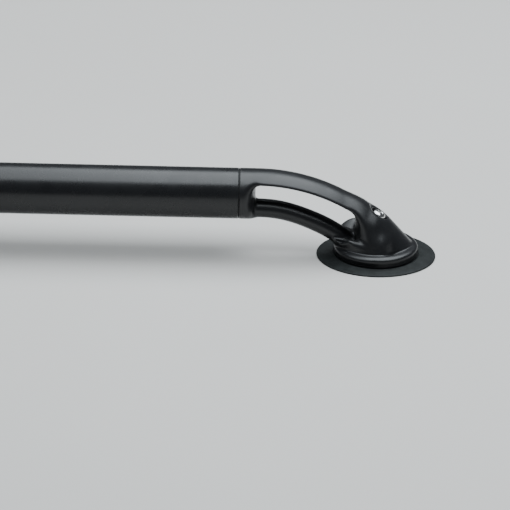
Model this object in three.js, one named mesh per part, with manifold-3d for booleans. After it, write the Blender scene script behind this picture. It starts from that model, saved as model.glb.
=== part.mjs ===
// Side rail for the top of a pickup truck's bed. A round steel tube runs along the bed
// between two cast end feet. Each foot arches down from the tube, is split by a long
// tie-down window, and stands on a rubber gasket over a stake pocket. A tilted bolt in
// the foot's shoulder draws a hooked jaw up and outwards under the pocket's rim.
//
// Frame: millimetres, +X along the rail, +Z up, origin midway between the feet on the
// plane that both gaskets rest on. A foot is drawn in its own axes first: x outwards
// from the centre of its base, z up from the underside of its gasket.
import * as THREE from "three";
import { mergeVertices } from "three/addons/utils/BufferGeometryUtils.js";
import Module from "manifold-3d";

const wasm = await Module();
wasm.setup();

// ---- driving dimensions ----
const POCKET_SPACING = 1320; // centre to centre of the two stake pockets
const GAP = 0.3; // between pieces that touch

const TUBE_RADIUS = 25.4;
const TUBE_WALL = 1.8;
const TUBE_AXIS_Z = 63.5;

const SEAM_X = -138; // where the tube butts against the foot
const BEND_X = -119; // where the foot starts to arch down
const BEND_RADIUS = 160.6; // of the tube's centre line
const BEND_ANGLE = 36; // degrees
const SPIGOT_LENGTH = 45;
const SPIGOT_RADIUS = 23.2;
const SPIGOT_BORE = 16;
const SEAL_THICKNESS = 0.8;

const ARM_UNDERSIDE = 15.5; // above the centre line: the window's upper edge
const BAR_DROP = 16; // lower bar's centre line below the tube's
const BAR_RADIUS = 9.25;
const WINDOW_LEFT = -122;
const WINDOW_RIGHT = -22;
const RECESS_FLOOR = 21.5; // flat floor at the window's lower end

const LEG_SLOPE = 47.8; // degrees below level, outer face of the foot
const LEG_RADIUS = 22;
const LEG_WIDENING = 1.09; // across the rail
const LEG_POINT = [-4.3, 23.8]; // a point on the leg's centre line
const LEG_TOP = 7; // from that point up to the centre of the leg's round end

const BOSS_RADIUS = 42;
const BASE_Z = 2.8; // underside of the casting, on the gasket's web
const GASKET_LENGTH = 119;
const GASKET_WIDTH = 110;
const GASKET_WEB = 2.5;

const BOLT_TILT = 30; // degrees from upright, leaning outwards
const SEAT = [0.2, 41]; // floor of the counterbore, on the bolt's axis
const SEAT_DEPTH = 5.4;
const COUNTERBORE_RADIUS = 8.8;
const SPOT_RADIUS = 12.5; // round flat cut into the shoulder around the counterbore
const BOLT_BORE = 4.7;

const BOLT_RADIUS = 4; // M8
const BOLT_LENGTH = 77;
const HEAD_RADIUS = 7;
const HEAD_HEIGHT = 4.4;
const HEX_KEY = 5;
const WASHER = { outer: 8, inner: 4.4, thickness: 1.3 };
const NUT = { flats: 13, height: 6.5, top: 55.8, bore: 4.3 };
const CLIP = { outer: 7, inner: 4.3, thickness: 0.9, top: 75.1 };

const CHEEK_INNER = 17.2; // guide cheeks either side of the jaw
const CHEEK_OUTER = 21.2;
const CHEEK_BOTTOM = -22;
const JAW_HALF_WIDTH = 16.5;
const JAW_TOP = -1.5;
const NOSE_TOP = -8;
const CLAMP_Z = -5; // underside of the pocket's rim, where the jaw's pad bears
const PAD_HALF_WIDTH = 15;

const TUBE_SCREW = { x: -160, radius: 2.9, sunk: 0.5, length: 8, key: 3 }; // a headless M6

const rad = THREE.MathUtils.degToRad;
const TILT = rad(BOLT_TILT);
const BEND = rad(BEND_ANGLE);
const BEND_CENTRE_Z = TUBE_AXIS_Z - BEND_RADIUS;

// ---- solids ----
function solidOf(geometry) {
  const bare = geometry.clone();
  for (const name of Object.keys(bare.attributes)) {
    if (name !== "position") bare.deleteAttribute(name);
  }
  const merged = mergeVertices(bare, 1e-4);
  const triVerts = Uint32Array.from(merged.index.array);
  const vertProperties = Float32Array.from(merged.attributes.position.array);
  const solid = new wasm.Manifold(new wasm.Mesh({ numProp: 3, vertProperties, triVerts }));
  if (solid.volume() > 0) return solid;
  for (let i = 0; i < triVerts.length; i += 3) {
    [triVerts[i + 1], triVerts[i + 2]] = [triVerts[i + 2], triVerts[i + 1]];
  }
  return new wasm.Manifold(new wasm.Mesh({ numProp: 3, vertProperties, triVerts }));
}

function geometryOf(solid) {
  const mesh = solid.getMesh();
  const positions = new Float32Array(mesh.numVert * 3);
  for (let i = 0; i < mesh.numVert; i++) {
    for (let k = 0; k < 3; k++) {
      positions[3 * i + k] = mesh.vertProperties[i * mesh.numProp + k];
    }
  }
  const geometry = new THREE.BufferGeometry();
  geometry.setAttribute("position", new THREE.BufferAttribute(positions, 3));
  geometry.setIndex(Array.from(mesh.triVerts));
  return geometry;
}

// A round bar from z = low to z = high about the z axis, before any turning.
function rod(radius, low, high, sides = 32) {
  const geometry = new THREE.CylinderGeometry(radius, radius, high - low, sides);
  return geometry.rotateX(Math.PI / 2).translate(0, 0, (low + high) / 2);
}

// A prism with the given width across its flats, turned a little off the x axis.
function hexagon(flats, low, high) {
  return rod(flats / Math.sqrt(3), low, high, 6).rotateZ(rad(5));
}

function turned(profile, sides = 48) {
  const points = profile.map(([r, z]) => new THREE.Vector2(r, z));
  return new THREE.LatheGeometry(points, sides).rotateX(Math.PI / 2);
}

// A side-view outline in x and z, made as thick as width and centred on y = 0.
function slab(outline, width) {
  const shape = new THREE.Shape(outline.map(([x, z]) => new THREE.Vector2(x, z)));
  const geometry = new THREE.ExtrudeGeometry(shape, { depth: width, bevelEnabled: false });
  return geometry.rotateX(Math.PI / 2).translate(0, width / 2, 0);
}

// Along the bolt's axis: local z = 0 lands on the counterbore's floor, +z outwards.
function onBoltAxis(geometry) {
  return geometry.rotateY(TILT).translate(SEAT[0], 0, SEAT[1]);
}

function alongTube(geometry, x) {
  return geometry.rotateY(Math.PI / 2).translate(x, 0, TUBE_AXIS_Z);
}

// The point at a height above the bent centre line, at an angle round the bend.
function onBend(angle, height) {
  const r = BEND_RADIUS + height;
  return [BEND_X + r * Math.sin(angle), BEND_CENTRE_Z + r * Math.cos(angle)];
}

// A round bar that follows the arch: straight from startX, bent, then a straight tail.
function archedBar(radius, height, startX, bendAngle, tail, sides, steps) {
  const r = BEND_RADIUS + height;
  const straight = BEND_X - startX;
  const arc = r * bendAngle;
  class Arch extends THREE.Curve {
    getPoint(t, target = new THREE.Vector3()) {
      const along = t * (straight + arc + tail);
      if (along < straight) return target.set(startX + along, 0, TUBE_AXIS_Z + height);
      const past = Math.max(0, along - straight - arc);
      const [x, z] = onBend(Math.min(along - straight, arc) / r, height);
      return target.set(x + past * Math.cos(bendAngle), 0, z - past * Math.sin(bendAngle));
    }
  }
  const ring = Array.from({ length: sides }, (_, i) => {
    const angle = (2 * Math.PI * (i + 0.5)) / sides;
    return new THREE.Vector2(radius * Math.cos(angle), radius * Math.sin(angle));
  });
  const options = { steps, extrudePath: new Arch() };
  return new THREE.ExtrudeGeometry(new THREE.Shape(ring), options);
}

// ---- materials ----
const finish = (color, roughness, metalness) => ({ color, roughness, metalness });
const POWDER_COAT = finish(0x101113, 0.36, 0.25);
const GASKET_RUBBER = finish(0x23272a, 0.85, 0);
const SOFT_RUBBER = finish(0x16171a, 0.8, 0);
const STAINLESS = finish(0xd4d6d8, 0.18, 1);
const ZINC = finish(0x9a9da0, 0.42, 1);
const JAW_STEEL = finish(0x55585b, 0.55, 0.9);

function piece(name, solid, look) {
  const mesh = new THREE.Mesh(geometryOf(solid), new THREE.MeshStandardMaterial(look));
  mesh.name = name;
  return mesh;
}

// ---- the rail's tube ----
function railTube() {
  const half = POCKET_SPACING / 2 + SEAM_X - SEAL_THICKNESS / 2 - GAP;
  const wall = [
    [TUBE_RADIUS - TUBE_WALL, -half],
    [TUBE_RADIUS, -half],
    [TUBE_RADIUS, half],
    [TUBE_RADIUS - TUBE_WALL, half],
    [TUBE_RADIUS - TUBE_WALL, -half],
  ];
  let tube = solidOf(alongTube(turned(wall, 64), 0));
  for (const side of [-1, 1]) {
    const x = side * (POCKET_SPACING / 2 + TUBE_SCREW.x);
    const hole = rod(TUBE_SCREW.radius + GAP, TUBE_AXIS_Z - 30, TUBE_AXIS_Z, 24);
    tube = tube.subtract(solidOf(hole.translate(x, 0, 0)));
  }
  return tube;
}

// ---- the cast foot ----
function windowCutter() {
  const steps = 14;
  const topEdge = [];
  const last = Math.asin((WINDOW_RIGHT - BEND_X) / (BEND_RADIUS + ARM_UNDERSIDE));
  for (let i = 0; i <= steps; i++) topEdge.push(onBend((last * i) / steps, ARM_UNDERSIDE));
  const outline = [
    [WINDOW_LEFT, 30],
    [WINDOW_LEFT, TUBE_AXIS_Z + ARM_UNDERSIDE - 3],
    [WINDOW_LEFT + 3, TUBE_AXIS_Z + ARM_UNDERSIDE],
    ...topEdge,
    [WINDOW_RIGHT + 2, 44],
    [WINDOW_RIGHT + 2, RECESS_FLOOR + 4],
    [WINDOW_RIGHT - 1, RECESS_FLOOR],
    [-BOSS_RADIUS - 1, RECESS_FLOOR],
    [-BOSS_RADIUS - 4, -20],
    [WINDOW_LEFT, -20],
  ];
  return solidOf(slab(outline, 4 * TUBE_RADIUS));
}

function leg() {
  const upright = rad(90 - LEG_SLOPE);
  const column = [[0, -60], [LEG_RADIUS, -60], [LEG_RADIUS, LEG_TOP]];
  for (const angle of [18, 36, 54, 72]) {
    const r = LEG_RADIUS * Math.cos(rad(angle));
    column.push([r, LEG_TOP + LEG_RADIUS * Math.sin(rad(angle))]);
  }
  column.push([0, LEG_TOP + LEG_RADIUS]);
  const round = turned(column, 36).scale(1, LEG_WIDENING, 1);
  return round.rotateY(-upright).translate(LEG_POINT[0], 0, LEG_POINT[1]);
}

function boss() {
  const profile = [
    [0, BASE_Z],
    [BOSS_RADIUS, BASE_Z],
    [BOSS_RADIUS, 8.2],
    [41.2, 10],
    [39, 10.9],
    [36, 11.3],
    [32, 13.2],
    [28.5, 17],
    [27, 21],
    [0, 21],
  ];
  return turned(profile, 56);
}

function spigot() {
  const shoulder = SEAM_X + SEAL_THICKNESS / 2 + GAP;
  const end = SEAM_X - SPIGOT_LENGTH;
  const outside = solidOf(alongTube(rod(SPIGOT_RADIUS, end, shoulder + 4, 40), 0));
  const inside = solidOf(alongTube(rod(SPIGOT_BORE, end - 1, SEAM_X - 4, 28), 0));
  const hole = rod(TUBE_SCREW.radius + GAP, TUBE_AXIS_Z - 30, TUBE_AXIS_Z - 10, 24);
  return outside.subtract(inside).subtract(solidOf(hole.translate(TUBE_SCREW.x, 0, 0)));
}

function cheeks() {
  const outline = [
    [-31, BASE_Z + 3],
    [25, BASE_Z + 3],
    [25, -10],
    [14, CHEEK_BOTTOM],
    [-33, CHEEK_BOTTOM],
    [-34, -6],
  ];
  const thickness = CHEEK_OUTER - CHEEK_INNER;
  const centre = (CHEEK_OUTER + CHEEK_INNER) / 2;
  const near = solidOf(slab(outline, thickness).translate(0, -centre, 0));
  const far = solidOf(slab(outline, thickness).translate(0, centre, 0));
  return near.add(far);
}

function endCasting() {
  const shoulderX = SEAM_X + SEAL_THICKNESS / 2 + GAP;
  const arch = solidOf(archedBar(TUBE_RADIUS, 0, shoulderX, BEND, 20, 28, 18));
  const spotFace = solidOf(onBoltAxis(rod(SPOT_RADIUS, SEAT_DEPTH, 40, 40)));
  const upper = arch.add(solidOf(leg())).subtract(spotFace);
  const bar = archedBar(BAR_RADIUS, -BAR_DROP, shoulderX + 4, rad(42), 8, 16, 18);
  const below = new THREE.BoxGeometry(400, 200, 200).translate(0, 0, BASE_Z - 100);
  const around = solidOf(rod(90, -20, BASE_Z + 6.5, 24));
  const outsideBoss = around.subtract(solidOf(rod(BOSS_RADIUS, -30, 30, 56)));
  const counterbore = onBoltAxis(rod(COUNTERBORE_RADIUS, 0, 20, 32));
  const bore = onBoltAxis(rod(BOLT_BORE, -70, 4, 20));
  return upper
    .subtract(windowCutter())
    .add(solidOf(bar))
    .subtract(outsideBoss)
    .add(solidOf(boss()))
    .subtract(solidOf(below))
    .add(cheeks())
    .add(spigot())
    .subtract(solidOf(counterbore))
    .subtract(solidOf(bore));
}

function seamSeal() {
  const half = SEAL_THICKNESS / 2;
  const outer = TUBE_RADIUS - GAP;
  const inner = SPIGOT_RADIUS + GAP;
  const ring = [
    [inner, -half],
    [outer, -half],
    [outer, half],
    [inner, half],
    [inner, -half],
  ];
  return solidOf(alongTube(turned(ring, 48), SEAM_X));
}

function baseGasket() {
  const edge = GASKET_LENGTH / 2;
  const pad = [
    [0, 0],
    [edge, 0],
    [edge, 0.9],
    [edge - 0.8, 1.3],
    [BOSS_RADIUS + 4, 2.9],
    [BOSS_RADIUS + 1.2, 3.1],
    [0, 3.1],
  ];
  const body = solidOf(turned(pad, 64).scale(1, GASKET_WIDTH / GASKET_LENGTH, 1));
  const seat = solidOf(rod(BOSS_RADIUS + 0.5, GASKET_WEB, 20, 56));
  const hole = new THREE.BoxGeometry(66, 2 * CHEEK_OUTER + 2, 20).translate(-4, 0, 0);
  return body.subtract(seat).subtract(solidOf(hole));
}

// ---- the clamp ----
function clampBolt() {
  const under = WASHER.thickness + 2 * GAP; // the head's underside above the seat
  const end = under - BOLT_LENGTH;
  const top = under + HEAD_HEIGHT;
  const profile = [
    [0, end],
    [BOLT_RADIUS - 1, end],
    [BOLT_RADIUS, end + 1],
    [BOLT_RADIUS, under],
    [HEAD_RADIUS, under],
    [HEAD_RADIUS * 0.94, under + HEAD_HEIGHT * 0.45],
    [HEAD_RADIUS * 0.75, under + HEAD_HEIGHT * 0.8],
    [HEAD_RADIUS * 0.54, top],
    [0, top],
  ];
  const socket = hexagon(HEX_KEY, top - 2.6, top + 2);
  const body = solidOf(turned(profile, 24)).subtract(solidOf(socket));
  return body.rotate([0, BOLT_TILT, 0]).translate([SEAT[0], 0, SEAT[1]]);
}

function boltWasher() {
  const ring = [
    [WASHER.inner, GAP],
    [WASHER.outer, GAP],
    [WASHER.outer, GAP + WASHER.thickness],
    [WASHER.inner, GAP + WASHER.thickness],
    [WASHER.inner, GAP],
  ];
  return solidOf(onBoltAxis(turned(ring, 32)));
}

function clampJaw() {
  const outline = [
    [-36.5, JAW_TOP],
    [26, JAW_TOP],
    [26, NOSE_TOP],
    [44, NOSE_TOP],
    [44, -13],
    [38, -17.5],
    [-22.5, -17.5],
    [-40, -7.4],
  ];
  const body = solidOf(slab(outline, 2 * JAW_HALF_WIDTH));
  const bore = solidOf(onBoltAxis(rod(BOLT_BORE, -80, -20, 20)));
  const nutPocket = hexagon(NUT.flats + 0.8, -90, -(NUT.top - GAP));
  return body.subtract(bore).subtract(solidOf(onBoltAxis(nutPocket)));
}

function jawPad() {
  const outline = [
    [27, NOSE_TOP + GAP],
    [43.5, NOSE_TOP + GAP],
    [43.5, CLAMP_Z - 0.6],
    [42.9, CLAMP_Z],
    [27, CLAMP_Z],
  ];
  return solidOf(slab(outline, 2 * PAD_HALF_WIDTH));
}

function clampNut() {
  const body = solidOf(onBoltAxis(hexagon(NUT.flats, -(NUT.top + NUT.height), -NUT.top)));
  return body.subtract(solidOf(onBoltAxis(rod(NUT.bore, -90, -40, 24))));
}

function boltClip() {
  const low = -(CLIP.top + CLIP.thickness);
  const ring = solidOf(onBoltAxis(rod(CLIP.outer, low, -CLIP.top, 24)));
  const hole = solidOf(onBoltAxis(rod(CLIP.inner, low - 5, 0, 20)));
  const mouth = new THREE.BoxGeometry(4.4, 12, 6).translate(0, 6, low);
  return ring.subtract(hole).subtract(solidOf(onBoltAxis(mouth)));
}

function tubeScrew() {
  const { x, radius, sunk, length, key } = TUBE_SCREW;
  const low = TUBE_AXIS_Z - TUBE_RADIUS + sunk;
  const profile = [
    [0, low],
    [radius - 0.5, low],
    [radius, low + 0.5],
    [radius, low + length - 0.8],
    [radius - 0.8, low + length],
    [0, low + length],
  ];
  const socket = hexagon(key, low - 2, low + 3.5);
  return solidOf(turned(profile, 24)).subtract(solidOf(socket)).translate([x, 0, 0]);
}

// ---- assembly ----
function footGroup(end) {
  const foot = new THREE.Group();
  foot.add(
    piece(`${end}_casting`, endCasting(), POWDER_COAT),
    piece(`${end}_seam_seal`, seamSeal(), SOFT_RUBBER),
    piece(`${end}_tube_screw`, tubeScrew(), ZINC),
    piece(`${end}_gasket`, baseGasket(), GASKET_RUBBER),
    piece(`${end}_bolt`, clampBolt(), STAINLESS),
    piece(`${end}_washer`, boltWasher(), STAINLESS),
    piece(`${end}_jaw`, clampJaw(), JAW_STEEL),
    piece(`${end}_jaw_pad`, jawPad(), SOFT_RUBBER),
    piece(`${end}_nut`, clampNut(), ZINC),
    piece(`${end}_bolt_clip`, boltClip(), ZINC),
  );
  return foot;
}

const group = new THREE.Group();
group.add(piece("rail_tube", railTube(), POWDER_COAT));

const front = footGroup("front");
front.position.x = POCKET_SPACING / 2;
group.add(front);

const rear = footGroup("rear");
rear.rotation.z = Math.PI;
rear.position.x = -POCKET_SPACING / 2;
group.add(rear);

export default group;
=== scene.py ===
"""A pickup truck's bed side rail: a round tube between two cast feet with tie-down windows.

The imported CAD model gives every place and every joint. Each of its faceted solids is replaced
here by a fine mesh in the same place and within the same overall box. The base's bead stands
higher and the seam rings are thicker than in the CAD. Shapes are worked out in a foot's own axes,
in millimetres: x outwards from the centre of its base, z up from its gasket's underside.
"""
import math

import bmesh
import bpy
import numpy as np
from mathutils import Matrix, Vector


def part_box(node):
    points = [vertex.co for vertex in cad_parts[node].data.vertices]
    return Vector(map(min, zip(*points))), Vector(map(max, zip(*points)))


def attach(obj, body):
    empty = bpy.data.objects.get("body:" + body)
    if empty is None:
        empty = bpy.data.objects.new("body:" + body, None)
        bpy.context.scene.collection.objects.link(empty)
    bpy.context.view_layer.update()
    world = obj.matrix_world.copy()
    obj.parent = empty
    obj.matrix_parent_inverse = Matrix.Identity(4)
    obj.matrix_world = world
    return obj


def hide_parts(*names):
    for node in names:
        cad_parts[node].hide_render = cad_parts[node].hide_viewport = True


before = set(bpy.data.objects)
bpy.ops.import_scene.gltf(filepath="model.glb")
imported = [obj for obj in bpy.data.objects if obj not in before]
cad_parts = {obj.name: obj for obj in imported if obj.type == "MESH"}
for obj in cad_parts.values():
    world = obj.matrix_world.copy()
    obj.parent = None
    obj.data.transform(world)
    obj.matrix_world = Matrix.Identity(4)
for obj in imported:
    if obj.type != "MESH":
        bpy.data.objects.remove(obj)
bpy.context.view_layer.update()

MM = 0.001
COARSER = 1  # a trial render's grids have twice the step

# ---- driving dimensions, millimetres: the CAD's, but for bead, groove, bar, window end and clip ----
TUBE_RADIUS = 25.4
TUBE_WALL = 1.8
TUBE_AXIS_Z = 63.5
SEAM_X = -138.0
SEAL_THICKNESS = 0.8
GAP = 0.3
BEND_X = -119.0
BEND_RADIUS = 160.6
BEND_ANGLE = math.radians(36)
SPIGOT_LENGTH = 45.0
SPIGOT_RADIUS = 23.2
SPIGOT_BORE = 16.0
ARM_UNDERSIDE = 15.5
BAR_DROP = 15.3  # at the seam; the bar sinks by BAR_SINK more towards the base
BAR_SINK = 1.6
BAR_HALF_HEIGHT = 9.25
BAR_HALF_WIDTH = 10.5
BAR_START = -125.0
WINDOW_LEFT = -121.6
WINDOW_RIGHT = -22.0
RECESS_FLOOR = 21.5
LEG_SLOPE = math.radians(47.8)
LEG_RADIUS = 22.0
LEG_HALF_WIDTH = 24.0
LEG_TOP = 7.0
LEG_POINT = (-4.3, 23.8)
BOSS_RADIUS = 42.0
BASE_Z = 2.8
RIM_Z = 9.2
BEAD_RADIUS = 36.0
BEAD_HALF_WIDTH = 6.0
BEAD_HALF_HEIGHT = 4.2
GROOVE_RADIUS = 33.6
GROOVE_Z = 12.3
FLARE_SLOPE = math.radians(60)
GASKET_LENGTH = 119.0
GASKET_WIDTH = 110.0
GASKET_WEB = 2.5
BOLT_TILT = math.radians(30)
SEAT = (0.2, 41.0)
SEAT_DEPTH = 5.4
COUNTERBORE_RADIUS = 8.8
SPOT_RADIUS = 12.5
BOLT_BORE = 4.7
BOLT_RADIUS = 4.0
BOLT_LENGTH = 77.0
BOLT_PITCH = 1.25
HEAD_RADIUS = 7.0
HEAD_HEIGHT = 4.4
HEX_KEY = 5.0
SHANK_END = -35.5  # where the thread has run out, below the counterbore's floor
THREAD_DEPTH = 0.62
WASHER_OUTER = 8.0
WASHER_INNER = 4.4
WASHER_THICKNESS = 1.3
NUT_FLATS = 13.0
NUT_HEIGHT = 6.5
NUT_TOP = 55.8
CLIP_TOP = 75.1
CLIP_THICKNESS = 0.9
CLIP_INNER = 4.3
CLIP_OUTER = 6.9
CLIP_LUG = 0.9
CLIP_MOUTH = 2.4  # half its width
CHEEK_INNER = 17.2
CHEEK_OUTER = 21.2
CHEEK_BOTTOM = -22.0
CHEEK_LEFT = -33.2
CHEEK_RIGHT = 25.0
CHEEK_CORNER_Z = -10.0  # where the cut corner starts on the right
JAW_HALF_WIDTH = 16.5
JAW_TOP = -1.5
JAW_BOTTOM = -17.5
JAW_INNER = -10.0  # its inner face, from the bolt's axis
JAW_END = 44.0
JAW_CORNER_Z = -13.0  # where the slope under the nose starts
NOSE_START = 26.0
NOSE_TOP = -8.0
PAD_CENTRE = (35.25, -6.35)
PAD_HALF_LENGTH = 8.25
PAD_HALF_WIDTH = 15.0
PAD_HALF_HEIGHT = 1.35
PAD_TOP = -5.0
GRIP_PITCH = 2.5
GRIP_RADIUS = 0.55
TUBE_SCREW_X = -160.0
SCREW_RADIUS = 2.9
SCREW_LENGTH = 8.0
SCREW_SUNK = 0.5
SCREW_KEY = 3.0

SHARP_ANGLE = 32  # degrees between faces, from which an edge is sharp
THREAD_SHARP_ANGLE = 40  # the same on bolts and screws
CREASE_ANGLE = 35  # degrees between a point's normal and its face's, where a crease is near
ROOT_HALF = 0.7071  # scales a slope of 45 degrees to a distance
FULL_TURN = 6.2832  # radians, rounded, in the nut's thread


# ---- distance fields: negative inside, smooth where two shapes meet ----
def smooth_min(a, b, k):
    """The smaller of two distances, blended where they differ by less than k."""
    h = np.maximum(k - np.abs(a - b), 0) / k
    return np.minimum(a, b) - h * h * k / 4


def smooth_max(a, b, k):
    """The larger of two distances, blended where they differ by less than k."""
    return -smooth_min(-a, -b, k)


def ease(t):
    """0 up to 0, 1 from 1 on, and smooth between them."""
    t = np.clip(t, 0, 1)
    return t * t * (3 - 2 * t)


def fade(value, start, end):
    """Goes smoothly from 0 where value is start to 1 where it is end."""
    return ease((value - start) / (end - start))


def height_over_arch(x, z):
    """Height above the rail's bent centre line, measured square to it."""
    dx = x - BEND_X
    dz = z - (TUBE_AXIS_Z - BEND_RADIUS)
    bent = np.hypot(dx, dz) - BEND_RADIUS
    tail = dx * math.sin(BEND_ANGLE) + dz * math.cos(BEND_ANGLE) - BEND_RADIUS
    angle = np.arctan2(dx, dz)
    return np.where(dx <= 0, z - TUBE_AXIS_Z, np.where(angle < BEND_ANGLE, bent, tail))


def bolt_axes(x, z):
    """Distance across the bolt's axis, outwards, and along it up from the counterbore's floor."""
    dx = x - SEAT[0]
    dz = z - SEAT[1]
    across = dx * math.cos(BOLT_TILT) - dz * math.sin(BOLT_TILT)
    along = dx * math.sin(BOLT_TILT) + dz * math.cos(BOLT_TILT)
    return across, along


def foot_core(x, y, z, height):
    """The arched tube and the sloping leg under it, whose upper end is round, blended.

    The arch is held within the leg's outline, with slack that grows up the arch.
    """
    swell = 2.0 * fade(x, -35, -10)
    arch = np.hypot(height, y) - TUBE_RADIUS - swell
    dx = x - LEG_POINT[0]
    dz = z - LEG_POINT[1]
    out = dx * math.sin(LEG_SLOPE) + dz * math.cos(LEG_SLOPE)
    down = dx * math.cos(LEG_SLOPE) - dz * math.sin(LEG_SLOPE)
    past_top = np.minimum(down + LEG_TOP, 0)
    across = y * LEG_RADIUS / LEG_HALF_WIDTH
    leg = np.sqrt(out ** 2 + across ** 2 + past_top ** 2) - LEG_RADIUS
    slack = 12 * fade(x, 4, -16) + 3 * np.maximum(-12 - x, 0)
    arch = smooth_max(arch, np.hypot(out, across) - LEG_RADIUS - slack, 3)
    return smooth_min(arch, leg, 4)


def flared_cone(x, z, r):
    """The cone from the leg down to the base's groove, slimmer on the outer side."""
    across = (r - GROOVE_RADIUS) * math.sin(FLARE_SLOPE) + (z - GROOVE_Z) * math.cos(FLARE_SLOPE)
    return smooth_max(across + 14 * fade(x, 4, 30), z - 25, 6)


def recess_floor(x, y):
    """Height of the floor over the base: it tilts across the rail and has a lip on the near side."""
    tilt = 0.36 * fade(x, -44, -22)
    lip = 8 * fade(y, -12, -21) * fade(x, -37, -26)
    return RECESS_FLOOR + tilt * np.clip(y, -14, 24) + lip


def cut_window(body, x, y, z, r, height):
    """Cuts the window, which widens at both ends towards its two mouths, down to its floor."""
    mouth = 7 * (y / 24) ** 2
    slot = smooth_max(WINDOW_LEFT - mouth - x, height - ARM_UNDERSIDE, 11)
    slot = smooth_max(slot, x - WINDOW_RIGHT - mouth, 11)
    floor_under = np.minimum(recess_floor(x, y) - z, BOSS_RADIUS + 1 - r)
    slot = smooth_max(slot, floor_under, 5)
    rounding = 3.6 + 3 * fade(x, -34, -20) + 3 * fade(x, -114, -126)
    return smooth_max(body, -slot, rounding)


def lower_bar(x, y, height):
    """The slim oval bar below the window, which sinks from the arch's line towards the base."""
    sink = BAR_DROP + BAR_SINK * fade(x, -105, -60)
    oval = np.hypot((height + sink) / BAR_HALF_HEIGHT, y / BAR_HALF_WIDTH) - 1
    return smooth_max(oval * BAR_HALF_HEIGHT, BAR_START - x, 2)


def rolled_bead(z, r):
    """The bead round the base's top edge, oval in section."""
    oval = np.hypot((r - BEAD_RADIUS) / BEAD_HALF_WIDTH, (z - RIM_Z) / BEAD_HALF_HEIGHT) - 1
    return oval * BEAD_HALF_HEIGHT


def side_wall(x, z, r):
    """The outer limit of base, leg and bar: upright round the base, let out above and for the bar."""
    slack = 1.5 * fade(x, 0, -20) + 4 * np.maximum(-20 - x, 0)
    return r - BOSS_RADIUS - 0.5 * np.maximum(z - RIM_Z - 3, 0) - slack


def guide_cheeks(x, y, z):
    """Two plates under the base, on both sides of the jaw, each with one corner cut off."""
    half_thickness = (CHEEK_OUTER - CHEEK_INNER) / 2
    plate = np.abs(np.abs(y) - (CHEEK_OUTER + CHEEK_INNER) / 2) - half_thickness
    outline = smooth_max(CHEEK_BOTTOM - z, z - BASE_Z - 3, 1)
    outline = smooth_max(outline, (CHEEK_LEFT - x) + 0.1 * z, 3)
    outline = smooth_max(outline, x - CHEEK_RIGHT, 3)
    outline = smooth_max(outline, ((x - CHEEK_RIGHT) - (z - CHEEK_CORNER_Z)) * ROOT_HALF, 4)
    return smooth_max(plate, outline, 1.0)


def spigot(x, y, z):
    """The hollow spigot that the tube slips over, with the set screw's hole in its underside."""
    r = np.hypot(y, z - TUBE_AXIS_Z)
    end = SEAM_X - SPIGOT_LENGTH
    ring = smooth_max(r - SPIGOT_RADIUS, SPIGOT_BORE - r, 0.5)
    ring = smooth_max(ring, end - x, 1.5)
    screw_hole = np.hypot(x - TUBE_SCREW_X, y) - SCREW_RADIUS - GAP
    ring = np.maximum(ring, -np.maximum(screw_hole, z - TUBE_AXIS_Z))
    return np.maximum(ring, x - SEAM_X - 3)


def cut_bolt_seat(body, x, y, z):
    """Cuts the round spot face, the counterbore and the bolt's hole, all on the bolt's axis."""
    across, up = bolt_axes(x, z)
    radius = np.hypot(across, y)
    spot_face = smooth_max(radius - SPOT_RADIUS, SEAT_DEPTH - up, 2.5)
    body = smooth_max(body, -spot_face, 2.2)
    counterbore = np.maximum(radius - COUNTERBORE_RADIUS, -up)
    body = smooth_max(body, -counterbore, 1.5)
    bore = np.maximum(radius - BOLT_BORE, up - 1)
    return np.maximum(body, -bore)


def casting_field(x, y, z):
    """A whole foot. Where a step ends in a number, that is the width of its blend."""
    height = height_over_arch(x, z)
    r = np.hypot(x, y)
    body = smooth_min(foot_core(x, y, z, height), flared_cone(x, z, r), 12 - 9 * fade(x, 2, 22))
    base = smooth_max(r - BOSS_RADIUS, z - RIM_Z - 1.2, 3.0)
    body = np.minimum(body, base)
    body = cut_window(body, x, y, z, r, height)
    body = smooth_min(body, lower_bar(x, y, height), 4.0)
    body = smooth_min(body, rolled_bead(z, r), 1.6)
    body = smooth_max(body, side_wall(x, z, r), 1.5)
    body = smooth_max(body, SEAM_X + SEAL_THICKNESS / 2 + GAP - x, 0.5)
    body = smooth_max(body, BASE_Z - z, 0.8)
    body = smooth_min(body, guide_cheeks(x, y, z), 1.2)
    body = np.minimum(body, spigot(x, y, z))
    return cut_bolt_seat(body, x, y, z)


def hexagon_field(a, b, apothem):
    """Distance from a hexagon's sides, with two of its corners on the a axis."""
    turns = (0, math.pi / 3, -math.pi / 3)
    sides = [np.abs(a * math.sin(t) + b * math.cos(t)) for t in turns]
    return np.maximum(np.maximum(sides[0], sides[1]), sides[2]) - apothem


def thread_radius(crest, angle, along):
    """Radius of a single-start thread at an angle round it and a height along it."""
    turn = np.mod(along / BOLT_PITCH - angle / (2 * math.pi), 1.0)
    return crest - THREAD_DEPTH * np.clip(np.abs(turn - 0.5) * 2.6 - 0.15, 0, 1)


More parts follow.
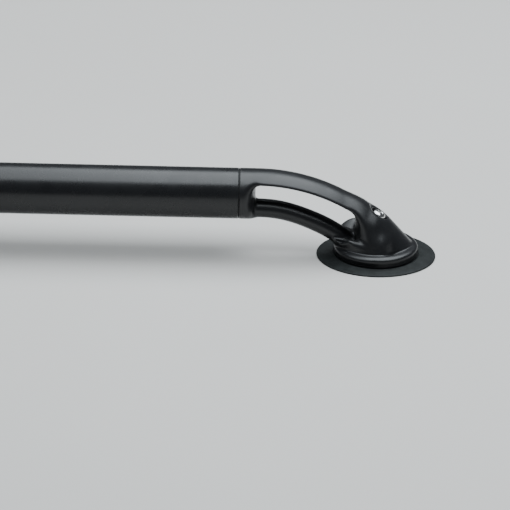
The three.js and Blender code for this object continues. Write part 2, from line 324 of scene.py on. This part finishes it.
def jaw_field(x, y, z):
    """The hooked jaw: a block round the bolt, an arm, and a nose that reaches outwards."""
    across, along = bolt_axes(x, z)
    shape = smooth_max(z - JAW_TOP, JAW_BOTTOM - z, 2)
    step = smooth_max(NOSE_START - x, NOSE_TOP - z, 2.5)
    shape = smooth_max(shape, -step, 1.5)
    shape = smooth_max(shape, x - JAW_END, 3)
    shape = smooth_max(shape, ((x - JAW_END) - (z - JAW_CORNER_Z)) * 0.6, 4)
    shape = smooth_max(shape, JAW_INNER - across, 3)
    shape = smooth_max(shape, np.where(x < -19, -62 - along, -50), 1)
    block = smooth_max(shape, np.abs(y) - JAW_HALF_WIDTH, 3)
    relief = smooth_max(np.abs(y) - 9.5, np.abs(x - 8) - 17, 5)
    relief = smooth_max(relief, z + 9, 3)
    block = smooth_max(block, -relief, 2.5)
    block = np.maximum(block, BOLT_BORE - np.hypot(across, y))
    pocket = hexagon_field(across, y, (NUT_FLATS + 0.8) / 2)
    pocket = np.maximum(pocket, along + NUT_TOP - GAP)
    return np.maximum(block, -pocket)


def nut_field(x, y, z):
    """A hex nut about its own axis, with chamfered corners and a cut thread."""
    r = np.hypot(x, y)
    body = np.maximum(hexagon_field(x, y, NUT_FLATS / 2), np.abs(z) - NUT_HEIGHT / 2)
    chamfer = (r - 0.5 * NUT_FLATS - 0.1) * 0.5 + (np.abs(z) - NUT_HEIGHT / 2) * 0.87
    body = np.maximum(body, chamfer)
    turn = np.mod(z / BOLT_PITCH - np.arctan2(y, x) / FULL_TURN, 1)
    hole = 4.75 - r - 0.5 * np.abs(turn * 2 - 1)
    countersink = 4.9 - r - (NUT_HEIGHT / 2 - np.abs(z))
    return np.maximum(body, np.maximum(hole, countersink))


def clip_field(x, y, z):
    """An open retaining clip with inner lugs that stand in from its ring."""
    r = np.hypot(x, y)
    angle = np.arctan2(y, x)
    inner = CLIP_INNER + CLIP_LUG * ease(np.cos(3 * angle + math.pi / 2) * 0.9 + 0.2)
    ring = smooth_max(r - CLIP_OUTER, inner - r, 0.3)
    mouth = smooth_max(np.abs(x) - CLIP_MOUTH, -y, 0.5)
    ring = smooth_max(ring, -mouth, 0.8)
    return smooth_max(ring, np.abs(z) - CLIP_THICKNESS / 2, 0.25)


def pad_field(x, y, z):
    """The rubber facing on the jaw's nose, with grip grooves across it."""
    box = smooth_max(np.abs(x - PAD_CENTRE[0]) - PAD_HALF_LENGTH, np.abs(y) - PAD_HALF_WIDTH, 2)
    box = smooth_max(box, np.abs(z - PAD_CENTRE[1]) - PAD_HALF_HEIGHT, 0.8)
    half = GRIP_PITCH / 2
    groove = GRIP_RADIUS - np.hypot(np.mod(x + half, GRIP_PITCH) - half, z - PAD_TOP)
    return smooth_max(box, groove, 0.2)


# ---- meshing ----
BISECTIONS = 10
HOLD = 0.03  # pulls a point to the middle of its cell's crossings where the normals leave it free
FARTHEST_SHIFT = 0.7  # from that middle, in grid steps
FLAT = 0.955  # length of a cell's mean normal, below which the cell holds a crease
RELAX_ROUNDS = 3
STEPS_BACK = 2  # on to the surface, in each round


def gradient(field, p, reach=0.04):
    """The field's outward unit normals at the points p, and its slope along them."""
    g = np.empty_like(p)
    for k in range(3):
        ahead, behind = p.copy(), p.copy()
        ahead[:, k] += reach
        behind[:, k] -= reach
        g[:, k] = field(*ahead.T) - field(*behind.T)
    length = np.linalg.norm(g, axis=1, keepdims=True)
    return g / np.maximum(length, 1e-9), length[:, 0] / (2 * reach)


def crossings(field, grid, inside, axis):
    """Points where the surface crosses the grid's edges along one axis, and their cells."""
    b, c = (axis + 1) % 3, (axis + 2) % 3
    low = [slice(None)] * 3
    high = [slice(None)] * 3
    low[axis] = slice(None, -1)
    high[axis] = slice(1, None)
    changes = inside[tuple(low)] != inside[tuple(high)]
    for other in (b, c):
        edge = [slice(None)] * 3
        for end in (0, -1):
            edge[other] = end
            changes[tuple(edge)] = False
    at = np.argwhere(changes)
    start = np.stack([grid[k][at[:, k]] for k in range(3)], axis=1)
    end = start.copy()
    end[:, axis] = grid[axis][at[:, axis] + 1]
    outward = inside[tuple(at.T)]
    lo, hi = np.zeros(len(at)), np.ones(len(at))
    for _ in range(BISECTIONS):
        mid = (lo + hi) / 2
        p = start + (end - start) * mid[:, None]
        same = (field(*p.T) < 0) == outward
        lo = np.where(same, mid, lo)
        hi = np.where(same, hi, mid)
    p = start + (end - start) * ((lo + hi) / 2)[:, None]
    offsets = np.zeros((4, 3), int)
    offsets[[0, 3], b] = -1
    offsets[[0, 1], c] = -1
    cells = at[:, None, :] + offsets[None]
    cells[~outward] = cells[~outward][:, ::-1]
    return p, cells


def polygonise(field, low, high, step):
    """A quad mesh of the field's surface that keeps its sharp edges, by dual contouring."""
    grid = [np.arange(a, b + step, step) for a, b in zip(low, high)]
    inside = np.empty([len(g) for g in grid], bool)
    y, z = np.meshgrid(grid[1], grid[2], indexing="ij")
    for i, x in enumerate(grid[0]):
        inside[i] = field(np.full_like(y, x), y, z) < 0
    found = [crossings(field, grid, inside, axis) for axis in range(3)]
    points = np.concatenate([f[0] for f in found])
    cells = np.concatenate([f[1] for f in found])
    keys = np.ravel_multi_index(cells.reshape(-1, 3).T, inside.shape)
    unique, quads = np.unique(keys, return_inverse=True)
    quads = quads.reshape(-1, 4)
    normals, _ = gradient(field, points)
    count = np.bincount(quads.ravel(), minlength=len(unique))

    def gather(weights):
        return np.bincount(quads.ravel(), np.repeat(weights, 4), len(unique))

    mean = np.stack([gather(points[:, k]) for k in range(3)], axis=1) / count[:, None]
    lean = np.stack([gather(normals[:, k]) for k in range(3)], axis=1) / count[:, None]
    reach = (normals * points).sum(1)
    matrix = np.empty((len(unique), 3, 3))
    target = np.empty((len(unique), 3))
    for i in range(3):
        target[:, i] = gather(normals[:, i] * reach)
        for j in range(3):
            matrix[:, i, j] = gather(normals[:, i] * normals[:, j])
    target -= np.einsum("nij,nj->ni", matrix, mean)
    matrix += np.eye(3) * HOLD
    shift = np.linalg.solve(matrix, target[:, :, None])[:, :, 0]
    shift = np.clip(shift, -FARTHEST_SHIFT * step, FARTHEST_SHIFT * step)
    creased = np.linalg.norm(lean, axis=1) < FLAT
    return relax(field, mean + shift, quads, creased), quads


def relax(field, verts, quads, creased):
    """Evens out the smooth points along the surface, and brings every point back on to it."""
    edges = np.concatenate([quads[:, [k, (k + 1) % 4]] for k in range(4)])
    both = np.concatenate([edges, edges[:, ::-1]])
    count = np.bincount(both[:, 0], minlength=len(verts))
    free = ~creased
    for _ in range(RELAX_ROUNDS):
        near = [np.bincount(both[:, 0], verts[both[:, 1], k], len(verts)) for k in range(3)]
        average = np.stack(near, axis=1) / np.maximum(count, 1)[:, None]
        verts[free] += 0.5 * (average[free] - verts[free])
        for _ in range(STEPS_BACK):
            normal, slope = gradient(field, verts)
            step = field(*verts.T) / np.maximum(slope, 0.3)
            verts -= normal * np.clip(step, -0.5, 0.5)[:, None]
    return verts


# ---- from arrays to Blender pieces ----
def foot_matrix(end):
    """From a foot's own axes in millimetres to the frame: the rear foot is turned round."""
    low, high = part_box(f"{end}_gasket")
    centre = (low.x + high.x) / 2
    turn = Matrix.Rotation(math.pi if end == "rear" else 0, 4, "Z")
    return Matrix.Translation((centre, 0, 0)) @ turn @ Matrix.Scale(MM, 4)


def bolt_matrix(end, along=0.0):
    """From axes on the bolt, z up its axis from the counterbore's floor, to the frame."""
    place = Matrix.Translation((SEAT[0], 0, SEAT[1]))
    tilt = Matrix.Rotation(BOLT_TILT, 4, "Y")
    return foot_matrix(end) @ place @ tilt @ Matrix.Translation((0, 0, along))


def mesh_of(name, verts, faces, matrix):
    """A mesh of points in axes of their own, which matrix takes to the frame."""
    mesh = bpy.data.meshes.new(name)
    mesh.from_pydata(np.asarray(verts).tolist(), [], [list(map(int, f)) for f in faces])
    mesh.transform(matrix)
    mesh.validate()
    mesh.update()
    return mesh


def piece(node, mesh, material, body, sharp=SHARP_ANGLE):
    """A finished piece that stands for the CAD node of the same name."""
    mesh.name = f"{node}_fine"
    mesh.shade_smooth()
    mesh.set_sharp_from_angle(angle=math.radians(sharp))
    made = bpy.data.objects.new(f"{node}_fine", mesh)
    bpy.context.scene.collection.objects.link(made)
    mesh.materials.append(material)
    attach(made, body)
    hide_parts(node)
    return made


def smooth_normals(mesh, field, verts, matrix):
    """Gives each corner the field's own normal, so that reflections run clean.

    Where a crease makes that turn away from the face, the corner takes the face's side of it.
    """
    at = np.empty(len(mesh.loops), int)
    mesh.loops.foreach_get("vertex_index", at)
    sides = np.empty(len(mesh.polygons), int)
    mesh.polygons.foreach_get("loop_total", sides)
    face = np.repeat(np.arange(len(sides)), sides)
    sums = [np.bincount(face, verts[at, k], len(sides)) for k in range(3)]
    centres = np.stack(sums, axis=1) / sides[:, None]
    corner = gradient(field, verts)[0][at]
    across = gradient(field, centres)[0][face]
    turned_away = (corner * across).sum(1) < math.cos(math.radians(CREASE_ANGLE))
    corner[turned_away] = across[turned_away]
    turn = np.array(matrix.to_3x3().normalized())
    mesh.normals_split_custom_set((corner @ turn.T).tolist())


def ring_loft(rings, close_start=False, close_end=False):
    """Quads between successive rings of equally many points; caps are single polygons."""
    count = len(rings[0])
    verts = np.concatenate([np.asarray(r, float) for r in rings])
    faces = []
    for k in range(len(rings) - 1):
        for i in range(count):
            j = (i + 1) % count
            faces.append((k * count + i, k * count + j, (k + 1) * count + j, (k + 1) * count + i))
    last = (len(rings) - 1) * count
    if close_start:
        faces.append(tuple(range(count - 1, -1, -1)))
    if close_end:
        faces.append(tuple(range(last, last + count)))
    return verts, faces


def weld(mesh, reach=1e-6):
    """Joins points that coincide, and removes the edges and faces that have no size."""
    work = bmesh.new()
    work.from_mesh(mesh)
    bmesh.ops.remove_doubles(work, verts=work.verts, dist=reach)
    bmesh.ops.dissolve_degenerate(work, edges=work.edges, dist=reach)
    work.to_mesh(mesh)
    work.free()


# ---- materials ----
def new_material(name, colour, roughness, metallic=0.0):
    """A Principled material, and its node tree, shader and position in the object's space."""
    material = bpy.data.materials.new(name)
    material.use_nodes = True
    tree = material.node_tree
    shader = tree.nodes["Principled BSDF"]
    shader.inputs["Base Color"].default_value = (*colour, 1)
    shader.inputs["Roughness"].default_value = roughness
    shader.inputs["Metallic"].default_value = metallic
    place = tree.nodes.new("ShaderNodeTexCoord").outputs["Object"]
    return material, tree, shader, place


def noise(tree, place, scale, detail=2.0, roughness=0.5):
    node = tree.nodes.new("ShaderNodeTexNoise")
    node.inputs["Scale"].default_value = scale
    node.inputs["Detail"].default_value = detail
    node.inputs["Roughness"].default_value = roughness
    tree.links.new(place, node.inputs["Vector"])
    return node.outputs["Fac"]


def ramp(tree, value, low, high, start, end):
    """Maps start..end of a value on to low..high, clamped."""
    node = tree.nodes.new("ShaderNodeMapRange")
    node.inputs["From Min"].default_value = start
    node.inputs["From Max"].default_value = end
    node.inputs["To Min"].default_value = low
    node.inputs["To Max"].default_value = high
    tree.links.new(value, node.inputs["Value"])
    return node.outputs["Result"]


def combine(tree, operation, a, b):
    node = tree.nodes.new("ShaderNodeMath")
    node.operation = operation
    for socket, value in zip(node.inputs, (a, b)):
        if isinstance(value, (int, float)):
            socket.default_value = value
        else:
            tree.links.new(value, socket)
    return node.outputs[0]


def two_tone(tree, shader, value, dark, light):
    """Colours the shader from dark to light as the value goes from 0 to 1."""
    node = tree.nodes.new("ShaderNodeMix")
    node.data_type = "RGBA"
    node.inputs["A"].default_value = (*dark, 1)
    node.inputs["B"].default_value = (*light, 1)
    tree.links.new(value, node.inputs["Factor"])
    tree.links.new(node.outputs["Result"], shader.inputs["Base Color"])


def bump(tree, shader, height, distance, strength=1.0):
    node = tree.nodes.new("ShaderNodeBump")
    node.inputs["Distance"].default_value = distance
    node.inputs["Strength"].default_value = strength
    tree.links.new(height, node.inputs["Height"])
    tree.links.new(node.outputs["Normal"], shader.inputs["Normal"])


def powder_coat(name, casting):
    """Satin black powder coat: a fine orange peel, softer and rougher over cast metal."""
    material, tree, shader, place = new_material(name, (0.010, 0.0105, 0.0115), 0.30)
    shader.inputs["Specular IOR Level"].default_value = 0.42
    broad = noise(tree, place, 22, 3)
    two_tone(tree, shader, broad, (0.0062, 0.0066, 0.0074), (0.0098, 0.0102, 0.0114))
    peel = noise(tree, place, 620 if casting else 780, 2)
    grain = noise(tree, place, 2600, 2)
    cloud = noise(tree, place, 60, 4)
    low, high = (0.28, 0.36) if casting else (0.25, 0.31)
    tree.links.new(ramp(tree, cloud, low, high, 0.35, 0.65), shader.inputs["Roughness"])
    height = combine(tree, "ADD", peel, combine(tree, "MULTIPLY", grain, 0.25))
    bump(tree, shader, height, 0.00003 if casting else 0.000008)
    return material


def gasket_rubber():
    """Moulded rubber, matte dark grey with a green cast, dusty in its pores."""
    material, tree, shader, place = new_material("gasket_rubber", (0.03, 0.034, 0.034), 0.62)
    shader.inputs["Specular IOR Level"].default_value = 0.22
    dust = ramp(tree, noise(tree, place, 120, 5, 0.6), 0, 1, 0.38, 0.68)
    two_tone(tree, shader, dust, (0.005, 0.0064, 0.0064), (0.0125, 0.015, 0.015))
    pores = noise(tree, place, 1500, 3, 0.6)
    tree.links.new(ramp(tree, pores, 0.55, 0.72, 0.3, 0.7), shader.inputs["Roughness"])
    bump(tree, shader, pores, 0.00012)
    return material


def soft_rubber():
    material, tree, shader, place = new_material("seal_rubber", (0.012, 0.012, 0.013), 0.6)
    shader.inputs["Specular IOR Level"].default_value = 0.2
    pores = noise(tree, place, 1200, 3)
    two_tone(tree, shader, pores, (0.004, 0.004, 0.0045), (0.009, 0.009, 0.0095))
    tree.links.new(ramp(tree, pores, 0.5, 0.7, 0.3, 0.7), shader.inputs["Roughness"])
    bump(tree, shader, pores, 0.0001)
    return material


def bright_metal(name, colour, smoothest, roughest, texture):
    """Plated or polished metal with fine scratches and faint handling marks."""
    material, tree, shader, place = new_material(name, colour, smoothest, 1.0)
    marks = noise(tree, place, 350, 4, 0.65)
    shade = tuple(c * 0.82 for c in colour)
    two_tone(tree, shader, ramp(tree, marks, 0, 1, 0.35, 0.65), shade, colour)
    fine = noise(tree, place, 3200, 2)
    rough = ramp(tree, combine(tree, "ADD", marks, fine), smoothest, roughest, 0.8, 1.2)
    tree.links.new(rough, shader.inputs["Roughness"])
    bump(tree, shader, fine, texture)
    return material


def cast_steel():
    """A dull plated casting with sand texture."""
    material, tree, shader, place = new_material("jaw_steel", (0.16, 0.165, 0.17), 0.5, 0.85)
    sand = noise(tree, place, 900, 4, 0.6)
    two_tone(tree, shader, ramp(tree, sand, 0, 1, 0.35, 0.65), (0.10, 0.10, 0.10), (0.2, 0.2, 0.21))
    tree.links.new(ramp(tree, sand, 0.42, 0.62, 0.35, 0.65), shader.inputs["Roughness"])
    bump(tree, shader, sand, 0.00025)
    return material


TUBE_COAT = powder_coat("tube_coat", casting=False)
CASTING_COAT = powder_coat("casting_coat", casting=True)
GASKET_RUBBER = gasket_rubber()
SEAL_RUBBER = soft_rubber()
STAINLESS = bright_metal("stainless", (0.78, 0.78, 0.77), 0.08, 0.2, 0.00001)
ZINC = bright_metal("zinc_steel", (0.56, 0.58, 0.6), 0.25, 0.45, 0.00003)
JAW_STEEL = cast_steel()


# ---- pieces ----
ENDS = ("front", "rear")


def field_pieces(suffix, field, low, high, step, matrix_for, material, body_for):
    """Meshes a field once and puts a copy at each end."""
    verts, quads = polygonise(field, low, high, step)
    for end in ENDS:
        node = f"{end}_{suffix}"
        matrix = matrix_for(end)
        mesh = mesh_of(node, verts, quads, matrix)
        piece(node, mesh, material, body_for(end))
        smooth_normals(mesh, field, verts, matrix)


def circle(radius, z, count):
    """A ring of points round the z axis; radius is one number, or one for each point."""
    turns = ring_turns(count)
    return np.stack([radius * np.cos(turns), radius * np.sin(turns), np.full(count, z)], axis=1)


def ring_turns(count):
    return 2 * math.pi * np.arange(count) / count


def turned_rings(profile, count):
    return [circle(r, z, count) for r, z in profile]


def lathed(node, profile, matrix, material, body, count):
    """A piece turned from a closed profile of radii and heights."""
    verts, faces = ring_loft(turned_rings(profile + profile[:1], count))
    mesh = mesh_of(node, verts, faces, matrix)
    weld(mesh)
    return piece(node, mesh, material, body)


def rail_tube():
    low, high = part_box("rail_tube")
    half = (high.x - low.x) / 2 / MM
    inner = TUBE_RADIUS - TUBE_WALL
    chamfer = 0.3
    profile = [(inner, -half), (TUBE_RADIUS - chamfer, -half), (TUBE_RADIUS, -half + chamfer)]
    steps = 40
    profile += [(TUBE_RADIUS, (half - 1) * (2 * k / steps - 1)) for k in range(steps + 1)]
    profile += [(TUBE_RADIUS, half - chamfer), (TUBE_RADIUS - chamfer, half), (inner, half)]
    along = Matrix.Translation((0, 0, TUBE_AXIS_Z)) @ Matrix.Rotation(math.pi / 2, 4, "Y")
    matrix = Matrix.Scale(MM, 4) @ along
    made = lathed("rail_tube", profile, matrix, TUBE_COAT, "root", 256)
    in_lower_wall = (TUBE_SCREW_X, 0, TUBE_AXIS_Z - 25)
    for end in ENDS:
        drill(made, foot_matrix(end) @ Matrix.Translation(in_lower_wall))


def drill(made, matrix):
    """Cuts a round hole for a tube screw, on the z axis of matrix, out of a finished piece."""
    rings = [circle(SCREW_RADIUS + GAP, z, 48) for z in (-6, 6)]
    verts, faces = ring_loft(rings, close_start=True, close_end=True)
    bit = bpy.data.objects.new("bit", mesh_of("bit", verts, faces, matrix))
    bpy.context.scene.collection.objects.link(bit)
    cut = made.modifiers.new("hole", "BOOLEAN")
    cut.operation = "DIFFERENCE"
    cut.solver = "EXACT"
    cut.object = bit
    with bpy.context.temp_override(object=made, active_object=made):
        bpy.ops.object.modifier_apply(modifier=cut.name)
    bpy.data.meshes.remove(bit.data)
    weld(made.data)
    made.data.set_sharp_from_angle(angle=math.radians(SHARP_ANGLE))


def castings():
    field_pieces(
        "casting", casting_field, (-184, -45, -25), (47, 45, 92), 1.0 * COARSER,
        foot_matrix, CASTING_COAT, lambda end: "root",
    )


def seam_seals():
    """The dark rings between tube and castings, thicker than in the CAD and set back a little."""
    half = SEAL_THICKNESS / 2 + 0.2
    outer = TUBE_RADIUS - 0.4
    inner = SPIGOT_RADIUS + GAP
    profile = [(inner, -half), (outer, -half), (outer, half), (inner, half)]
    place = Matrix.Translation((SEAM_X, 0, TUBE_AXIS_Z)) @ Matrix.Rotation(math.pi / 2, 4, "Y")
    for end in ENDS:
        matrix = foot_matrix(end) @ place
        lathed(f"{end}_seam_seal", profile, matrix, SEAL_RUBBER, "root", 160)


def superellipse(half_x, half_y, z, count, power, centre_x=0.0):
    """A ring of points on an oval, squarer with a higher power; power 2 is an ellipse."""
    turns = 2 * math.pi * (np.arange(count) + 0.5) / count
    c, s = np.cos(turns), np.sin(turns)
    x = centre_x + half_x * np.sign(c) * np.abs(c) ** (2 / power)
    y = half_y * np.sign(s) * np.abs(s) ** (2 / power)
    return np.stack([x, y, np.full(count, z)], axis=1)


def gaskets():
    """An oval pad: flat under the foot, a low lip round it, and a thin rolled edge."""
    count = 256
    edge_x, edge_y = GASKET_LENGTH / 2, GASKET_WIDTH / 2
    hole_x, hole_y, hole_centre = 32.5, CHEEK_OUTER + 0.9, -4.0
    seat = BOSS_RADIUS + 0.5
    # the lip: how far out from the foot's edge to the pad's, and at what height
    lip = [(0, GASKET_WEB), (0, 2.95), (0.02, 3.12), (0.06, 3.2), (0.11, 3.12), (0.15, 2.92), (0.19, 2.8)]
    # the rolled edge: how far in from the pad's outline, and at what height
    edge = [(1.1, 1.35), (0.6, 1.15), (0.2, 0.85), (0.0, 0.45), (0.15, 0.12), (0.5, 0.0)]

    def slope(share, z):
        half_x = seat + (edge_x - 1.6 - seat) * share
        half_y = seat + (edge_y - 1.6 - seat) * share
        return superellipse(half_x, half_y, z, count, 2)

    rings = [superellipse(hole_x, hole_y, z, count, 8, hole_centre) for z in (0.0, GASKET_WEB)]
    rings += [slope(share, z) for share, z in lip]
    rings += [slope(0.19 + 0.81 * k / 12, 2.8 - 1.35 * k / 12) for k in range(1, 13)]
    rings += [superellipse(edge_x - inset, edge_y - inset, z, count, 2) for inset, z in edge]
    rings += [rings[0]]
    verts, faces = ring_loft(rings[::-1])
    for end in ENDS:
        mesh = mesh_of(f"{end}_gasket", verts, faces, foot_matrix(end))
        weld(mesh)
        piece(f"{end}_gasket", mesh, GASKET_RUBBER, "root")


def hexagon_ring(flats, z, count):
    """A ring of points round a hexagon, evenly turned, so it lofts to a circle."""
    off_corner = np.mod(ring_turns(count), math.pi / 3) - math.pi / 6
    return circle(flats / 2 / np.cos(off_corner), z, count)


def socket_rings(flats, rim_radius, top, depth, count):
    """From the head's top edge into a hex socket with a drilled point at its bottom."""
    floor_z = top - depth
    sides = [(flats + 0.7, top - 0.02), (flats + 0.1, top - 0.3), (flats, top - 0.35), (flats, floor_z)]
    point = [(flats * 0.47, floor_z - 0.05), (flats * 0.2, floor_z - 0.6), (0.05, floor_z - 0.85)]
    rings = [circle(rim_radius, top, count)]
    rings += [hexagon_ring(across_flats, z, count) for across_flats, z in sides]
    return rings + turned_rings(point, count)


def dome(radius, height, low, flat_radius, steps):
    """A button head's rounded top, from its outer edge in to the flat round the socket."""
    lowest = 8  # degrees up the curve at the outer edge
    points = []
    for k in range(steps + 1):
        turn = math.radians(lowest + (90 - lowest) * k / steps)
        share = math.cos(turn) / math.cos(math.radians(lowest))
        points.append((flat_radius + (radius - flat_radius) * share, low + height * math.sin(turn)))
    return points


def thread_rings(radius, low, high, count, per_pitch=10):
    """A thread from low to high, which runs out over its last two turns."""
    rings = []
    steps = int((high - low) / BOLT_PITCH * per_pitch)
    for k in range(steps + 1):
        z = low + (high - low) * k / steps
        run_out = min(1.0, (high - z) / (2 * BOLT_PITCH))
        cut = radius - thread_radius(radius, ring_turns(count), z)
        rings.append(circle(radius - cut * run_out, z, count))
    return rings


def bolts():
    """M8 button heads with a rolled edge, a plain shank and a cut thread to the end."""
    count = 96
    under = WASHER_THICKNESS + 2 * GAP
    end_z = under - BOLT_LENGTH
    shank = BOLT_RADIUS - 0.05
    rings = [circle(0.3, end_z, count), circle(BOLT_RADIUS - 1.1, end_z, count)]
    rings += thread_rings(BOLT_RADIUS - 0.06, end_z + 0.9, SHANK_END - 0.5, count)
    rings += turned_rings([(shank, SHANK_END), (shank, under - 0.4)], count)
    rings += turned_rings([(BOLT_RADIUS + 0.35, under), (HEAD_RADIUS - 0.25, under)], count)
    rings += turned_rings([(HEAD_RADIUS, under + 0.25), (HEAD_RADIUS, under + 0.8)], count)
    rings += turned_rings(dome(HEAD_RADIUS - 0.05, HEAD_HEIGHT - 0.85, under + 0.85, 3.4, 14), count)
    rings += socket_rings(HEX_KEY, 3.3, under + HEAD_HEIGHT, 2.6, count)
    verts, faces = ring_loft(rings, close_start=True, close_end=True)
    for end in ENDS:
        mesh = mesh_of(f"{end}_bolt", verts, faces, bolt_matrix(end))
        piece(f"{end}_bolt", mesh, STAINLESS, f"{end}_clamp_bolt", THREAD_SHARP_ANGLE)


def washers():
    low, high = GAP, GAP + WASHER_THICKNESS
    profile = [(WASHER_INNER, low + 0.15), (WASHER_INNER + 0.15, low), (WASHER_OUTER - 0.3, low)]
    profile += [(WASHER_OUTER, low + 0.3), (WASHER_OUTER, high - 0.35), (WASHER_OUTER - 0.35, high)]
    profile += [(WASHER_INNER + 0.15, high), (WASHER_INNER, high - 0.15)]
    for end in ENDS:
        lathed(f"{end}_washer", profile, bolt_matrix(end), STAINLESS, "root", 96)


def tube_screws():
    """Headless socket screws, just under flush, that pin the tube to each foot's spigot."""
    count = 72
    turn_over = Matrix.Rotation(math.pi, 4, "X")
    end_z = -SCREW_SUNK - SCREW_LENGTH
    rings = [circle(0.3, end_z + 0.5, count), circle(SCREW_RADIUS - 0.8, end_z, count)]
    rings += thread_rings(SCREW_RADIUS - 0.06, end_z + 0.8, -SCREW_SUNK - 0.9, count)
    rings += turned_rings([(SCREW_RADIUS - 0.65, -SCREW_SUNK - 0.1)], count)
    rings += socket_rings(SCREW_KEY, 2.05, -SCREW_SUNK, 3.0, count)
    verts, faces = ring_loft(rings, close_start=True, close_end=True)
    for end in ENDS:
        place = Matrix.Translation((TUBE_SCREW_X, 0, TUBE_AXIS_Z - TUBE_RADIUS)) @ turn_over
        mesh = mesh_of(f"{end}_tube_screw", verts, faces, foot_matrix(end) @ place)
        piece(f"{end}_tube_screw", mesh, ZINC, "root", THREAD_SHARP_ANGLE)


def clamp_parts():
    """The jaw, its rubber pad and its nut, which travel, and the clip on the bolt's end."""
    def jaw_body(end):
        return f"{end}_clamp_jaw"

    field_pieces(
        "jaw", jaw_field, (-40, -19, -20), (47, 19, 1), 0.8 * COARSER,
        foot_matrix, JAW_STEEL, jaw_body,
    )
    field_pieces(
        "jaw_pad", pad_field, (26, -16, -8.6), (44.6, 16, -4.2), 0.35 * COARSER,
        foot_matrix, SEAL_RUBBER, jaw_body,
    )
    field_pieces(
        "nut", nut_field, (-8.4, -8.4, -4), (8.4, 8.4, 4), 0.3 * COARSER,
        lambda end: bolt_matrix(end, -NUT_TOP - NUT_HEIGHT / 2), ZINC, jaw_body,
    )
    field_pieces(
        "bolt_clip", clip_field, (-7.6, -7.6, -0.9), (7.6, 7.6, 0.9), 0.2 * COARSER,
        lambda end: bolt_matrix(end, -CLIP_TOP - CLIP_THICKNESS / 2), ZINC,
        lambda end: f"{end}_clamp_bolt",
    )


rail_tube()
castings()
seam_seals()
gaskets()
bolts()
washers()
tube_screws()
clamp_parts()


# ---- floor, light and camera ----
FLOOR_DROP = 0.0004
SHOT_AZIMUTH = 0.0
SHOT_ELEVATION = math.radians(24)
SHOT_ROLL = math.radians(1.3)
SHOT_DISTANCE = 4.6
SHOT_WIDTH = 0.510  # of the view, at the foot
FOOT_RIGHT_OF_CENTRE = 0.1208
FOOT_ABOVE_CENTRE = 0.0004
COOL_WHITE = (0.89, 0.955, 1.0)


def floor():
    """A plain pale floor at the height of the bed rail's top, where the gaskets rest."""
    half = 12.0
    corners = [(-half, -half), (half, -half), (half, half), (-half, half)]
    mesh = bpy.data.meshes.new("floor")
    mesh.from_pydata([(x, y, -FLOOR_DROP) for x, y in corners], [], [(0, 1, 2, 3)])
    made = bpy.data.objects.new("floor", mesh)
    bpy.context.scene.collection.objects.link(made)
    material, tree, shader, place = new_material("pale_floor", (0.52, 0.505, 0.485), 0.7)
    two_tone(tree, shader, noise(tree, place, 3, 3), (0.505, 0.49, 0.47), (0.535, 0.52, 0.50))
    mesh.materials.append(material)


def softbox(name, place, aim, size, watts):
    lamp = bpy.data.lights.new(name, "AREA")
    lamp.shape = "RECTANGLE"
    lamp.size, lamp.size_y = size
    lamp.energy = watts
    lamp.color = COOL_WHITE
    made = bpy.data.objects.new(name, lamp)
    made.location = place
    made.rotation_euler = (Vector(aim) - Vector(place)).to_track_quat("-Z", "Y").to_euler()
    bpy.context.scene.collection.objects.link(made)


def lights():
    """Two soft boxes from above, aimed straight down, in a dim room."""
    world = bpy.data.worlds.new("studio")
    bpy.context.scene.world = world
    world.use_nodes = True
    background = world.node_tree.nodes["Background"]
    background.inputs["Color"].default_value = (0.78, 0.82, 0.88, 1)
    background.inputs["Strength"].default_value = 0.13
    softbox("overhead", (0.4, 0.50, 2.6), (0.4, 0.50, 0), (4.6, 3.88), 186)
    softbox("key", (1.0, 0.11, 1.5), (1.0, 0.11, 0), (1.4, 1.88), 25)


def camera():
    """The photo's view of the front foot, from afar."""
    foot = foot_matrix("front").translation
    ahead = Vector((
        math.sin(SHOT_AZIMUTH) * math.cos(SHOT_ELEVATION),
        math.cos(SHOT_AZIMUTH) * math.cos(SHOT_ELEVATION),
        -math.sin(SHOT_ELEVATION),
    ))
    level = ahead.to_track_quat("-Z", "Y").to_matrix()
    turn = level @ Matrix.Rotation(SHOT_ROLL, 3, "Z")
    right, up = turn.col[0], turn.col[1]
    lens = bpy.data.cameras.new("camera")
    lens.sensor_width = 36
    lens.lens = 36 * SHOT_DISTANCE / SHOT_WIDTH
    lens.clip_end = 50
    made = bpy.data.objects.new("camera", lens)
    target = foot - right * FOOT_RIGHT_OF_CENTRE - up * FOOT_ABOVE_CENTRE
    made.location = target - ahead * SHOT_DISTANCE
    made.rotation_euler = turn.to_euler()
    bpy.context.scene.collection.objects.link(made)
    bpy.context.scene.camera = made


floor()
lights()
camera()
